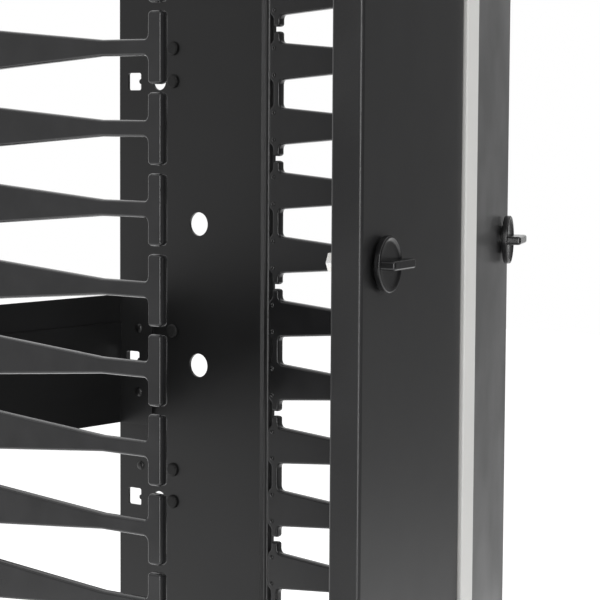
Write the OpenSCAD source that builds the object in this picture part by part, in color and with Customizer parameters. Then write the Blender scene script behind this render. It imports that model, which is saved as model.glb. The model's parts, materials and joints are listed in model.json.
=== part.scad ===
// Vertical cable manager for a server rack: a single-sided steel duct with plastic finger
// combs on its front edges and a door that can hinge on either side.
//
// Axes: +X to the right seen from the front, -Y to the front, +Z up. The origin is on the
// floor, at the centre of the anchor holes. Depths named *_d are measured forwards from the
// rear face. Everything on the door is drawn with the door shut and then swung open by
// door_ajar about the right-hand pins.

/* [Overall size] */
// Height over the bottom and top plates
total_h = 2133.6; // [1600:0.1:2400]
// Width over the plates and the door
total_w = 304.8; // [280:0.1:360]
// Depth from the rear face to the side edges of the shut door
frame_d = 336; // [325:0.5:380]
// How far the middle of the door stands proud of its side edges
door_crown = 16.3; // [12:0.1:22]

/* [Bottom and top plates] */
// Height of each plate's skirt
plate_h = 44.45; // [40:0.05:60]
// Thickness of the plates' sheet
plate_t = 2; // [1.5:0.1:3]
// Width of the flange that stands on the floor
foot_w = 34; // [30:0.5:40]
// Width of the cable opening in each deck
deck_open_w = 210; // [120:1:220]
// Depth of the cable opening in each deck
deck_open_d = 200; // [100:1:220]
// Distance from the rear face to that opening
deck_open_from = 50; // [40:1:60]
// Radius of the opening's corners
deck_open_r = 20; // [5:1:30]
// Distance between the left and right anchor holes
anchor_span_x = 268; // [264:0.5:274]
// Distance between the front and rear anchor holes
anchor_span_y = 240; // [180:1:260]
// Diameter of the anchor holes
anchor_hole = 13; // [8:0.5:16]

/* [Side panels] */
// Distance between the inner faces of the two side panels
duct_w = 292.8; // [270:0.1:320]
// Thickness of the panels' sheet
panel_t = 2; // [1.5:0.1:2.5]
// Depth of the flat wall of a panel
panel_d = 132.8; // [120:0.1:150]
// How far the comb flange is set outwards from the wall
joggle = 2.3; // [2:0.1:3]
// Width of the rim that runs up beside the joggle
rim_w = 7.4; // [6:0.1:9]
// Width of the rim where it widens to carry a finger
comb_flange_w = 15.9; // [14:0.1:17]
// Radius of the half-round bead along the comb flange
bead_r = 2.8; // [2:0.1:3]
// Height of the turned-in tab at each end of a panel
tab_w = 20; // [16:0.5:24]
// Length of that tab along the depth
tab_len = 90; // [60:1:110]

/* [Hole pattern] */
// Height from one row of holes to the next
station_pitch = 101.6; // [90:0.1:120]
// Height of the pattern's middle row above mid-height
station_shift = -3.6; // [-20:0.1:20]
// Clear height kept between the last row and a panel's end
station_margin = 60; // [55:1:100]
// Side of the square holes
square_hole = 12.5; // [10:0.1:14]
// Radius of the square holes' corners
square_hole_r = 1.5; // [0.5:0.1:3]
// Radius of the half-round nib on each square hole's front edge
nib_r = 1.8; // [1:0.1:2.5]
// Distance from the rear face to the square holes
square_hole_d = 14.5; // [12:0.1:17]
// Diameter of the small round holes
small_hole = 12.5; // [8:0.1:14]
// Distance from the rear face to the small round holes
small_hole_d = 38.4; // [34:0.1:42]
// Diameter of the large round holes
large_hole = 16.9; // [12:0.1:20]
// Distance from the rear face to the large round holes
large_hole_d = 75.8; // [70:0.1:100]
// Height of the rivets above their row of holes
rivet_rise = 23.5; // [20:0.1:28]
// Distance from the rear face to the rivets
rivet_d = 20.3; // [16:0.1:24]
// Diameter of the rivet shanks
rivet_shank = 4; // [3:0.1:5]
// Distance from the rear face to the hole plugs
plug_d = 51.7; // [49:0.1:58]
// Diameter of the hole plugs' bodies
plug_body = 6; // [4:0.1:7]

/* [Cross-members] */
// Height of a cross-member
cross_h = 95; // [80:1:99]
// Thickness of its sheet
cross_t = 2; // [1.5:0.1:3]
// Depth of the tab at each end, along the panel
cross_tab = 32; // [28:0.5:36]
// Height of the raised field in its web
field_h = 54; // [30:1:70]
// How far the field is raised
field_rise = 1.2; // [0.5:0.1:2]
// Rows of holes between one cross-member and the next
cross_every = 6; // [6:3:6]

/* [Finger combs] */
// Height from one finger to the next
finger_pitch = 44.45; // [40:0.05:48]
// Thickness of a comb
comb_t = 6.4; // [5:0.1:8]
// Gap between one two-finger module and the next
module_gap = 5.6; // [2:0.1:8]
// Distance from the rear face to the back of a comb's spine
spine_d = 146; // [144.5:0.1:147]
// Width of the spine
spine_w = 6.1; // [5:0.1:8]
// How far the lobes behind each finger reach past the spine
lobe_reach = 3.4; // [2:0.1:3.4]
// Height of a lobe
lobe_h = 24; // [22:0.1:26]
// Height of a finger where it leaves the spine
root_h = 26; // [22:0.1:28]
// Height of the slim neck behind the T-head
neck_h = 9.4; // [7:0.1:12]
// Length of the slim neck
neck_len = 31; // [20:0.5:50]
// Distance from the rear face to the front of the T-heads
comb_front_d = 300; // [280:0.5:304]
// Thickness of a T-head, along the depth
head_d = 9; // [7:0.1:11]
// Height of a T-head
head_h = 40.2; // [34:0.1:42]
// Radius of a T-head's corners
head_r = 2.4; // [1:0.1:3.4]
// Radius of the inner corners of a comb
comb_fillet = 3; // [1.5:0.1:4]
// Diameter of the comb rivets' shanks
comb_rivet = 2.4; // [2:0.1:3]
// Distance of the comb rivets above and below a finger's middle
comb_rivet_rise = 9.3; // [7:0.1:10.5]

/* [Door] */
// Thickness of the door's sheet
door_t = 1.5; // [1.2:0.1:2]
// Depth of the flanges along its sides
door_flange = 17.4; // [16:0.1:19]
// Width of the lip turned in from each flange
door_lip = 6; // [4:0.1:8]
// Running gap between the door and a hinge bush
door_gap = 0.3; // [0.2:0.05:1]
// Thickness of the caps at the door's ends
cap_t = 2; // [1.5:0.1:3]
// Width of the pale strip down the middle
strip_w = 24; // [18:0.1:30]
// How far the strip stands proud of the door's crown
strip_proud = 0.8; // [0.4:0.1:2]
// Width of the dark groove at each side of the strip
strip_groove = 1.5; // [1:0.1:2.5]
// Depth of the channel that the strip lies in
strip_channel = 1.5; // [1:0.1:2]
// Depth of the box section that stiffens the door
stiffener_d = 12; // [8:0.5:16]
// Angle at which the door stands open
door_ajar = 18.2; // [0:0.1:60]

/* [Latches] */
// Distance from the door's side edge to a knob's axis
knob_inset = 25.4; // [25.2:0.1:30]
// Diameter of a knob's disc
knob_dia = 30.5; // [26:0.1:34]
// Distance from the door's face to the front of the disc
knob_t = 5.6; // [5:0.1:7]
// Distance from the door's face to the back of the disc
knob_back = 1.9; // [1.5:0.1:2.2]
// Diameter of the hub behind the disc
knob_hub = 18; // [14:0.5:24]
// Depth of the dish in the disc's face
knob_dish = 1.2; // [0.6:0.1:1.6]
// Thickness of the bar grip
grip_t = 5.3; // [4:0.1:7]
// Length of the bar grip
grip_len = 28.6; // [24:0.1:29]
// How far the grip stands out from the disc
grip_h = 8.3; // [6:0.1:12]
// Diameter of the spindle
spindle = 8; // [7:0.1:8.6]
// Length of the spindle behind the door's face
spindle_len = 31; // [29:0.5:34]
// Distance of a rod's follower from the spindle when released
cam_in = 8; // [7.8:0.1:8.2]
// Travel of each rod
rod_travel = 11; // [10:0.1:11]
// Thickness of the cam plate
cam_t = 3; // [2:0.1:3]
// Rim of the cam plate outside its slots
cam_rim = 1.6; // [1.2:0.1:1.6]
// Diameter of the followers on the rods
follower = 4; // [3:0.1:4]
// Width of a rod's flat bar
bar_w = 14; // [10:0.1:16]
// Thickness of the bar
bar_t = 3; // [2:0.1:3.4]
// Depth of the bars' middle behind the door's face
bar_depth = 10.3; // [10:0.1:10.8]
// Distance from a knob's axis to the hinge axis, across the door
hinge_offset = 13.4; // [12:0.1:14.5]
// Diameter of the hinge pins
hinge_pin = 8; // [6:0.1:8.4]
// Radial running clearance of pins and spindles in their bushes
run_clear = 0.1; // [0.05:0.01:0.1]
// Guides on each rod
guides_per_rod = 3; // [2:1:4]

/* [Hidden] */
$fn = 48;
eps = 0.01;
rear_y = frame_d / 2;
mid_z = total_h / 2;
wall_x = duct_w / 2;
deck_z = plate_h;
panel_h = total_h - 2 * plate_h;
facet_a = atan(door_crown / (total_w / 2));
comb_flange_x = wall_x + joggle;
comb_in_x = comb_flange_x - comb_t;
joggle_d = panel_d + joggle;
bead_d = joggle_d + bead_r;
station_z = mid_z + station_shift;
station_max = floor((panel_h / 2 - station_margin) / station_pitch);
module_h = 2 * finger_pitch;
module_count = floor(panel_h / module_h + 0.001);
comb_z0 = mid_z - module_count * module_h / 2;
comb_sections = 8;
spine_front_d = spine_d + spine_w;
head_back_d = comb_front_d - head_d;
neck_from_d = head_back_d - neck_len;
comb_rivet_d = spine_d + 1;
spine_end_r = 2;
lobe_root = 2;
lobe_r = 1.7;
tab_r = 2;

// Bushes in the decks, and the pins that run in them
bush_flange_t = 2;
bush_wall = 3;
bush_flange_extra = 3;
bush_len = 13;
bush_fit = 0.05;
bush_od = hinge_pin + 2 * run_clear + 2 * bush_wall;

// Door
door_z0 = plate_h + bush_flange_t + door_gap;
door_h = total_h - 2 * door_z0;
channel_w = strip_w + 2 * strip_groove;
channel_floor_d = frame_d + door_crown * (1 - channel_w / total_w) - strip_channel;
face_d = door_t / cos(facet_a);

// Latches. w is the distance out from the door's face, so what lies behind it has w < 0.
knob_x = total_w / 2 - knob_inset;
knob_face_d = frame_d + door_crown * knob_inset / (total_w / 2);
knob_z = station_z;
knob_gap = 0.3;
bore_clear = 0.1;
socket = 2.8;
grip_r = 1.6;
cam_gap = 0.5;
cam_w = -(bar_depth + bar_t / 2 + cam_gap);
slot_clear = 0.2;
cam_out = cam_in + rod_travel;
cam_r = cam_out + follower / 2 + slot_clear + cam_rim;
knob_bush_r = spindle / 2 + run_clear + 2;
knob_bush_flange = 2.5;
drive_square = 0.75 * spindle;
thread = 0.75 * spindle;
scroll_steps = 40;
washer_t = 1.6;
washer_w = cam_w - cam_t;
nut_t = 5;
nut_af = 10;
nut_w = -spindle_len + 1 + nut_t;
wire = 1.2;
spring_r = 5.2;
spring_turns = 4;
tongue_w = 9;
tongue_end = 3.2;
pin_len = 45;
pin_back = 0.5;
bar_lead = 4;
pin_hole_clear = 0.4;
jog_h = 24;
guide_h = 14;
guide_wall = 4;
guide_back = 2.7;
guide_clear = 0.3;
guide_from = 90;
hinge_x = knob_x + hinge_offset * cos(facet_a) - bar_depth * sin(facet_a);
hinge_d = knob_face_d - hinge_offset * sin(facet_a) - bar_depth * cos(facet_a);

// Fasteners
screw_shank = 5;
screw_head = 9;
screw_head_t = 3;
rivet_head = 7;
rivet_head_t = 1.6;
plug_head = 10;
plug_head_t = 2.2;
comb_rivet_head = 3.4;
comb_rivet_head_t = 0.9;
hole_clear = 0.2;

// ---- Places ----

// Row-frame Y of a depth measured forwards from the rear face
function y_of(d) = rear_y - d;
// Depth of the door's outer face at x, moved back by m at right angles to the face
function facet_d(x, m = 0) = frame_d + door_crown * (1 - abs(x) / (total_w / 2)) - m / cos(facet_a);
// Kind of hole row: 0 large round hole alone, 1 square and small round, 2 square and large round
function station_kind(k) = (k + 300) % 3;
// Rows at which cross-members sit
cross_rows = [-1 - cross_every, -1, -1 + cross_every];
function is_cross_row(k) = len(search(k, cross_rows)) > 0;
function rows() = [for (k = [-station_max : station_max]) k];
function row_z(k) = station_z + k * station_pitch;

// (x, depth) drawings become plan views in (X, Y)
module plan() {
    translate([0, rear_y]) mirror([0, 1]) children();
}

// (depth, z) drawings become plates that start at X = x and grow outwards by t
module upright(x, t) {
    translate([x, rear_y, 0]) rotate([90, 0, 90]) linear_extrude(t) mirror([1, 0]) children();
}

// Right-hand parts as drawn for side 1, and their mirror image for side -1
module on_side(side) {
    if (side > 0) children();
    else mirror([1, 0, 0]) children();
}

// Swings what is drawn on the shut door to where the door stands
module on_door() {
    translate([hinge_x, y_of(hinge_d), 0]) rotate([0, 0, door_ajar])
        translate([-hinge_x, -y_of(hinge_d), 0]) children();
}

// Right-hand knob's frame: x across the facet, -y out of the door's face, z up
module at_knob() {
    translate([knob_x, y_of(knob_face_d), knob_z]) rotate([0, 0, facet_a]) children();
}

// A cylinder along the knob's axis, from w = from to w = to
module along_axis(from, to, r, sides = $fn) {
    translate([0, -from, 0]) rotate([90, 0, 0]) cylinder(h = to - from, r = r, $fn = sides);
}

// Rounded rectangle from whole squares and circles
module round_rect(w, h, r) {
    translate([-w / 2 + r, -h / 2]) square([w - 2 * r, h]);
    translate([-w / 2, -h / 2 + r]) square([w, h - 2 * r]);
    for (sx = [-1, 1], sy = [-1, 1])
        translate([sx * (w / 2 - r), sy * (h / 2 - r)]) circle(r);
}

// Fillet for an inner corner at the origin that opens towards +x, +y
module inner_fillet(r) {
    difference() {
        translate([-eps, -eps]) square(r + eps);
        translate([r, r]) circle(r);
    }
}

// ---- Frame ----

module square_cutout() {
    difference() {
        round_rect(square_hole, square_hole, square_hole_r);
        translate([square_hole / 2, 0]) circle(nib_r);
    }
}

module wall_holes() {
    for (k = rows()) {
        kind = station_kind(k);
        z = row_z(k);
        if (kind > 0) {
            translate([square_hole_d, z]) square_cutout();
            translate([rivet_d, z + rivet_rise]) circle(d = rivet_shank + hole_clear);
            translate([plug_d, z + rivet_rise]) circle(d = plug_body + hole_clear);
        }
        if (kind == 1) {
            translate([small_hole_d, z]) circle(d = small_hole);
            translate([plug_d, z]) circle(d = plug_body + hole_clear);
        }
        if (kind != 1) translate([large_hole_d, z]) circle(d = large_hole);
        if (is_cross_row(k))
            translate([rivet_d, z - rivet_rise]) circle(d = rivet_shank + hole_clear);
    }
}

module at_fingers() {
    for (i = [0 : 2 * module_count - 1])
        translate([0, comb_z0 + (i + 0.5) * finger_pitch]) children();
}

module side_panel() {
    upright(wall_x, panel_t) difference() {
        translate([0, deck_z]) square([panel_d, panel_h]);
        wall_holes();
    }
    upright(comb_flange_x, panel_t) difference() {
        union() {
            translate([joggle_d, deck_z]) square([rim_w, panel_h]);
            at_fingers() translate([joggle_d + comb_flange_w / 2, 0])
                round_rect(comb_flange_w, root_h, tab_r);
        }
        at_fingers() for (s = [-1, 1])
            translate([comb_rivet_d, s * comb_rivet_rise]) circle(d = comb_rivet + hole_clear);
    }
    translate([0, 0, deck_z]) linear_extrude(panel_h) plan() {
        polygon([[wall_x, panel_d - eps], [wall_x, panel_d], [comb_flange_x, joggle_d],
            [comb_flange_x, joggle_d + eps], [comb_flange_x + panel_t, joggle_d + eps],
            [comb_flange_x + panel_t, joggle_d - panel_t / 2],
            [wall_x + panel_t, panel_d - panel_t / 2], [wall_x + panel_t, panel_d - panel_t]]);
        translate([wall_x, 0]) square([joggle + panel_t, panel_t]);
        intersection() {
            translate([comb_flange_x + eps, bead_d]) circle(bead_r);
            translate([comb_flange_x + eps - 2 * bead_r, bead_d - bead_r])
                square([2 * bead_r, 2 * bead_r]);
        }
    }
    for (z = [deck_z, total_h - deck_z - panel_t])
        translate([0, 0, z]) linear_extrude(panel_t) plan() difference() {
            translate([wall_x - tab_w, panel_t]) square([tab_w + eps, tab_len]);
            tab_screw_spots() circle(d = screw_shank + hole_clear);
        }
}

module tab_screw_spots() {
    for (f = [0.2, 0.8]) translate([wall_x - tab_w / 2, panel_t + f * tab_len]) children();
}

module left_side_panel() { color([0.16, 0.16, 0.17]) on_side(-1) side_panel(); }
module right_side_panel() { color([0.16, 0.16, 0.17]) on_side(1) side_panel(); }

// Outline of the plates seen from above, moved in by m
module plate_outline(m = 0) {
    x = total_w / 2 - m;
    polygon([[-x, m], [x, m], [x, facet_d(x, m)], [0, facet_d(0, m)], [-x, facet_d(x, m)]]);
}

module plate() {
    difference() {
        translate([0, 0, plate_h - plate_t]) linear_extrude(plate_t) plan() difference() {
            plate_outline();
            translate([0, deck_open_from + deck_open_d / 2])
                round_rect(deck_open_w, deck_open_d, deck_open_r);
            for (s = [-1, 1]) {
                translate([s * hinge_x, hinge_d]) circle(d = bush_od + 2 * bush_fit);
                scale([s, 1]) tab_screw_spots() circle(d = screw_shank + hole_clear);
            }
        }
    }
    linear_extrude(plate_h - plate_t / 2) plan() difference() {
        plate_outline();
        plate_outline(plate_t);
    }
    linear_extrude(plate_t) difference() {
        plan() difference() {
            plate_outline(plate_t / 2);
            plate_outline(foot_w);
        }
        for (sx = [-1, 1], sy = [-1, 1])
            translate([sx * anchor_span_x / 2, sy * anchor_span_y / 2]) circle(d = anchor_hole);
    }
}

module at_top() { translate([0, 0, total_h]) mirror([0, 0, 1]) children(); }

module bottom_plate() { color([0.15, 0.15, 0.16]) plate(); }
module top_plate() { color([0.15, 0.15, 0.16]) at_top() plate(); }

// Screw or rivet along +X from the inner face at x, with a head of its own shape
module side_fastener(x, d, z, shank, len, head, head_t) {
    translate([x, y_of(d), z]) rotate([0, 90, 0]) {
        cylinder(h = len, d = shank);
        translate([0, 0, -head_t]) cylinder(h = head_t, d1 = 0.7 * head, d2 = head);
    }
}

module cross_member(k) {
    translate([0, 0, row_z(k) - cross_h / 2]) {
        linear_extrude(cross_h) plan() translate([-wall_x, 0]) square([duct_w, cross_t]);
        translate([0, 0, (cross_h - field_h) / 2]) linear_extrude(field_h) plan()
            translate([-wall_x + cross_t, cross_t - eps])
                square([duct_w - 2 * cross_t, field_rise + eps]);
    }
    for (s = [-1, 1]) on_side(s) upright(wall_x - cross_t, cross_t) difference() {
        translate([cross_t / 2, row_z(k) - cross_h / 2]) square([cross_tab, cross_h]);
        translate([square_hole_d, row_z(k)]) square_cutout();
        for (r = [-1, 1]) translate([rivet_d, row_z(k) + r * rivet_rise])
            circle(d = rivet_shank + hole_clear);
    }
}

module lower_cross_member() { color([0.17, 0.17, 0.18]) cross_member(cross_rows[0]); }
module middle_cross_member() { color([0.17, 0.17, 0.18]) cross_member(cross_rows[1]); }
module upper_cross_member() { color([0.17, 0.17, 0.18]) cross_member(cross_rows[2]); }

module cross_member_screws() {
    color([0.5, 0.5, 0.52]) for (s = [-1, 1], k = cross_rows, r = [-1, 1])
        on_side(s) side_fastener(wall_x - cross_t, rivet_d, row_z(k) + r * rivet_rise,
            rivet_shank, cross_t + panel_t + 1, rivet_head, rivet_head_t);
}

module panel_rivets() {
    color([0.4, 0.4, 0.42]) for (s = [-1, 1], k = rows())
        if (station_kind(k) > 0 && !is_cross_row(k))
            on_side(s) side_fastener(wall_x, rivet_d, row_z(k) + rivet_rise,
                rivet_shank, panel_t + 1, rivet_head, rivet_head_t);
}

module hole_plugs() {
    color([0.05, 0.05, 0.05]) for (s = [-1, 1], k = rows()) {
        if (station_kind(k) > 0) on_side(s) side_fastener(wall_x, plug_d,
            row_z(k) + rivet_rise, plug_body, panel_t + 2, plug_head, plug_head_t);
        if (station_kind(k) == 1) on_side(s) side_fastener(wall_x, plug_d,
            row_z(k), plug_body, panel_t + 2, plug_head, plug_head_t);
    }
}

module tab_screws() {
    for (s = [-1, 1]) on_side(s) translate([0, rear_y, 0]) mirror([0, 1, 0])
        tab_screw_spots() {
            translate([0, 0, deck_z - plate_t - 4])
                cylinder(h = plate_t + 4 + panel_t, d = screw_shank);
            translate([0, 0, deck_z + panel_t]) cylinder(h = screw_head_t, d = screw_head);
        }
}

module plate_screws() {
    color([0.45, 0.45, 0.47]) {
        tab_screws();
        at_top() tab_screws();
    }
}

module bushes() {
    for (s = [-1, 1]) translate([s * hinge_x, y_of(hinge_d), deck_z]) difference() {
        union() {
            cylinder(h = bush_flange_t, d = bush_od + 2 * bush_flange_extra);
            translate([0, 0, -bush_len]) cylinder(h = bush_len + eps, d = bush_od);
        }
        translate([0, 0, -bush_len - 1])
            cylinder(h = bush_len + bush_flange_t + 2, r = hinge_pin / 2 + run_clear);
    }
}

module hinge_bushes() {
    color([0.85, 0.85, 0.82]) {
        bushes();
        at_top() bushes();
    }
}

// ---- Finger combs ----

module finger() {
    polygon([[spine_d, -root_h / 2], [spine_front_d, -root_h / 2], [neck_from_d, -neck_h / 2],
        [head_back_d + eps, -neck_h / 2], [head_back_d + eps, neck_h / 2],
        [neck_from_d, neck_h / 2], [spine_front_d, root_h / 2], [spine_d, root_h / 2]]);
    translate([comb_front_d - head_d / 2, 0]) round_rect(head_d, head_h, head_r);
    translate([spine_d + (lobe_root - lobe_reach) / 2, 0])
        round_rect(lobe_reach + lobe_root, lobe_h, min(lobe_reach / 2, lobe_r));
    for (s = [0, 1]) mirror([0, s]) {
        translate([spine_front_d, root_h / 2]) inner_fillet(comb_fillet);
        translate([head_back_d, neck_h / 2]) mirror([1, 0]) inner_fillet(comb_fillet);
    }
}

// Two fingers on one spine, in the (depth, z) plane, from z = 0 up to module_h
module comb_module() {
    difference() {
        union() {
            translate([spine_d + spine_w / 2, module_h / 2])
                round_rect(spine_w, module_h - module_gap, spine_end_r);
            for (i = [0.5, 1.5]) translate([0, i * finger_pitch]) finger();
        }
        for (i = [0.5, 1.5], s = [-1, 1])
            translate([comb_rivet_d, i * finger_pitch + s * comb_rivet_rise])
                circle(d = comb_rivet + hole_clear);
    }
}

// Modules that belong to section n of the comb on one side
function section_start(n) = floor(n * module_count / comb_sections);

module comb_section(side, n) {
    color([0.13, 0.13, 0.14]) on_side(side)
        for (i = [section_start(n) : section_start(n + 1) - 1])
            translate([0, 0, comb_z0 + i * module_h]) upright(comb_in_x, comb_t) comb_module();
}

module left_comb_1() { comb_section(-1, 0); }
module left_comb_2() { comb_section(-1, 1); }
module left_comb_3() { comb_section(-1, 2); }
module left_comb_4() { comb_section(-1, 3); }
module left_comb_5() { comb_section(-1, 4); }
module left_comb_6() { comb_section(-1, 5); }
module left_comb_7() { comb_section(-1, 6); }
module left_comb_8() { comb_section(-1, 7); }
module right_comb_1() { comb_section(1, 0); }
module right_comb_2() { comb_section(1, 1); }
module right_comb_3() { comb_section(1, 2); }
module right_comb_4() { comb_section(1, 3); }
module right_comb_5() { comb_section(1, 4); }
module right_comb_6() { comb_section(1, 5); }
module right_comb_7() { comb_section(1, 6); }
module right_comb_8() { comb_section(1, 7); }

module comb_rivets(side) {
    color([0.6, 0.6, 0.62]) on_side(side)
        for (i = [0 : 2 * module_count - 1], s = [-1, 1])
            side_fastener(comb_in_x, comb_rivet_d,
                comb_z0 + (i + 0.5) * finger_pitch + s * comb_rivet_rise,
                comb_rivet, comb_t + panel_t + 0.6, comb_rivet_head, comb_rivet_head_t);
}

module left_comb_rivets() { comb_rivets(-1); }
module right_comb_rivets() { comb_rivets(1); }

// ---- Door ----

// Right half of the door's outer outline seen from above, from its side edge to the middle
function outer_half() = [
    [total_w / 2, frame_d - door_flange],
    [total_w / 2, frame_d],
    [channel_w / 2, facet_d(channel_w / 2)],
    [channel_w / 2, channel_floor_d]];
// The same for the inner faces of the sheet, from back_d behind the flange
function inner_half(back_d) = [
    [total_w / 2 - door_t, back_d],
    [total_w / 2 - door_t, facet_d(total_w / 2 - door_t, door_t)],
    [channel_w / 2 + door_t, facet_d(channel_w / 2 + door_t, door_t)],
    [channel_w / 2 + door_t, channel_floor_d - door_t]];
function lip_end(d) = [[total_w / 2 - door_lip, d]];
function reversed(points) = [for (i = [len(points) - 1 : -1 : 0]) points[i]];
function flipped(points) = [for (p = points) [-p[0], p[1]]];

module door_skin() {
    back_d = frame_d - door_flange;
    outside = concat(lip_end(back_d), outer_half());
    inside = concat(lip_end(back_d + door_t), inner_half(back_d + door_t));
    color([0.24, 0.24, 0.25]) on_door() difference() {
        translate([0, 0, door_z0]) linear_extrude(door_h) plan()
            polygon(concat(outside, reversed(flipped(outside)), flipped(inside), reversed(inside)));
        for (s = [-1, 1]) on_side(s) at_knob()
            along_axis(-3 * door_t, 1, knob_bush_r + bush_fit);
    }
}

module door_strip() {
    front_d = frame_d + door_crown + strip_proud;
    color([0.83, 0.83, 0.81]) on_door() translate([0, 0, door_z0])
        linear_extrude(door_h) plan()
            polygon([[-strip_w / 2, channel_floor_d], [strip_w / 2, channel_floor_d],
                [strip_w / 2, front_d - 1], [strip_w / 2 - 1, front_d],
                [-strip_w / 2 + 1, front_d], [-strip_w / 2, front_d - 1]]);
}

module door_stiffener() {
    back_d = channel_floor_d - door_t - stiffener_d;
    color([0.35, 0.35, 0.36]) on_door() translate([0, 0, door_z0 + cap_t])
        linear_extrude(door_h - 2 * cap_t) plan() difference() {
            translate([-channel_w / 2, back_d]) square([channel_w, stiffener_d]);
            translate([-channel_w / 2 + door_t, back_d + door_t])
                square([channel_w - 2 * door_t, stiffener_d - 2 * door_t]);
        }
}

module door_cap() {
    inside = inner_half(frame_d - door_flange + door_t);
    linear_extrude(cap_t) plan() difference() {
        polygon(concat(inside, reversed(flipped(inside))));
        for (s = [-1, 1]) translate([s * hinge_x, hinge_d]) circle(r = hinge_pin / 2 + pin_hole_clear);
    }
}

module door_bottom_cap() {
    color([0.2, 0.2, 0.21]) on_door() translate([0, 0, door_z0]) door_cap();
}

module door_top_cap() {
    color([0.2, 0.2, 0.21]) on_door() translate([0, 0, door_z0 + door_h - cap_t]) door_cap();
}

// Distance from the knob to the door's end in direction dir
function rod_reach(dir) = dir > 0 ? door_z0 + door_h - knob_z : knob_z - door_z0;
function guide_z(dir, i) = dir * (guide_from
    + i * (rod_reach(dir) - guide_from - pin_len - jog_h - 2 * guide_h) / (guides_per_rod - 1));

module rod_guides(side) {
    outer_w = bar_w + 2 * guide_clear + 2 * guide_wall;
    slot_w = bar_w + 2 * guide_clear;
    slot_t = bar_t + 2 * guide_clear;
    depth = bar_depth + bar_t / 2 + guide_clear + guide_back;
    color([0.1, 0.1, 0.1]) on_door() on_side(side) at_knob()
        for (dir = [-1, 1], i = [0 : guides_per_rod - 1])
            translate([0, 0, guide_z(dir, i) - guide_h / 2]) linear_extrude(guide_h)
                difference() {
                    translate([-outer_w / 2, door_t]) square([outer_w, depth - door_t]);
                    translate([-slot_w / 2, bar_depth - slot_t / 2]) square([slot_w, slot_t]);
                }
}

module left_rod_guides() { rod_guides(-1); }
module right_rod_guides() { rod_guides(1); }

// ---- Latches ----

module knob_bushes() {
    color([0.8, 0.8, 0.78]) on_door() for (s = [-1, 1]) on_side(s) at_knob() difference() {
        union() {
            along_axis(-door_t - 3, 0, knob_bush_r);
            along_axis(-door_t - 1.2, -door_t, knob_bush_r + knob_bush_flange);
        }
        along_axis(-door_t - 4, 1, spindle / 2 + run_clear);
    }
}

module knob(side) {
    disc_r = knob_dia / 2;
    color([0.07, 0.07, 0.07]) on_door() on_side(side) at_knob() difference() {
        union() {
            rotate([90, 0, 0]) rotate_extrude($fn = 96)
                polygon([[0, knob_gap], [knob_hub / 2, knob_gap], [knob_hub / 2, knob_back],
                    [disc_r - 0.5, knob_back], [disc_r, knob_back + 0.5], [disc_r, knob_t - 0.6],
                    [disc_r - 0.6, knob_t], [disc_r - 1.4, knob_t], [disc_r - 3.4, knob_t - knob_dish],
                    [0, knob_t - knob_dish]]);
            translate([0, -knob_back - 1, 0]) rotate([90, 0, 0])
                linear_extrude(knob_t - knob_back - 1 + grip_h) round_rect(grip_len, grip_t, grip_r);
        }
        along_axis(-1, knob_gap + socket, spindle / 2 + bore_clear);
    }
}

module spindle_shaft(side) {
    square_end = cam_w - cam_t - 0.3;
    color([0.75, 0.76, 0.78]) on_door() on_side(side) at_knob() {
        along_axis(cam_w, knob_gap + socket, spindle / 2);
        translate([-drive_square / 2, -cam_w - eps, -drive_square / 2])
            cube([drive_square, cam_w - square_end + eps, drive_square]);
        along_axis(-spindle_len, square_end + eps, thread / 2);
    }
}

// Centre line of the upper scroll slot: its radius falls evenly over half a turn
function scroll(t, side_shift) =
    let (r = cam_out - rod_travel * t, a = 90 + 180 * t, h = (follower / 2 + slot_clear) * side_shift)
        [(r + h) * cos(a), (r + h) * sin(a)];

module scroll_slot() {
    slot_r = follower / 2 + slot_clear;
    polygon(concat([for (i = [0 : scroll_steps]) scroll(i / scroll_steps, 1)],
        [for (i = [scroll_steps : -1 : 0]) scroll(i / scroll_steps, -1)]));
    translate([0, cam_out]) circle(slot_r);
    translate([0, -cam_in]) circle(slot_r);
}

module cam(side) {
    color([0.7, 0.71, 0.73]) on_door() on_side(side) at_knob()
        translate([0, -cam_w + cam_t, 0]) rotate([90, 0, 0]) linear_extrude(cam_t)
            difference() {
                circle(cam_r, $fn = 96);
                square(drive_square, center = true);
                for (a = [0, 180]) rotate(a) scroll_slot();
            }
}

module spring(side) {
    length = (washer_w - washer_t) - nut_w;
    rings = 16 * spring_turns;
    sides = 8;
    points = [for (i = [0 : rings], j = [0 : sides - 1])
        let (a = 360 * spring_turns * i / rings, b = 360 * j / sides,
            r = spring_r + wire / 2 * cos(b),
            y = wire / 2 + (length - wire) * i / rings + wire / 2 * sin(b))
            [r * cos(a), y, r * sin(a)]];
    faces = concat([[for (j = [0 : sides - 1]) j]],
        [for (i = [0 : rings - 1], j = [0 : sides - 1])
            let (k = (j + 1) % sides)
                [i * sides + j, (i + 1) * sides + j, (i + 1) * sides + k, i * sides + k]],
        [[for (j = [sides - 1 : -1 : 0]) rings * sides + j]]);
    color([0.7, 0.7, 0.72]) on_door() on_side(side) at_knob()
        translate([0, -(washer_w - washer_t), 0]) polyhedron(points, faces, convexity = 8);
}

module nut(side) {
    color([0.78, 0.79, 0.8]) on_door() on_side(side) at_knob() difference() {
        union() {
            along_axis(washer_w - washer_t, washer_w, spring_r + wire + 1);
            along_axis(nut_w - nut_t, nut_w - 1, nut_af / 2 / cos(30), 6);
            along_axis(nut_w - 1, nut_w, spring_r + wire + 1);
        }
        along_axis(-spindle_len - 1, washer_w + 1, thread / 2 + bore_clear);
        translate([0, -washer_w + eps, 0]) cube([drive_square, 0.7, drive_square], center = true);
    }
}

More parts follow.
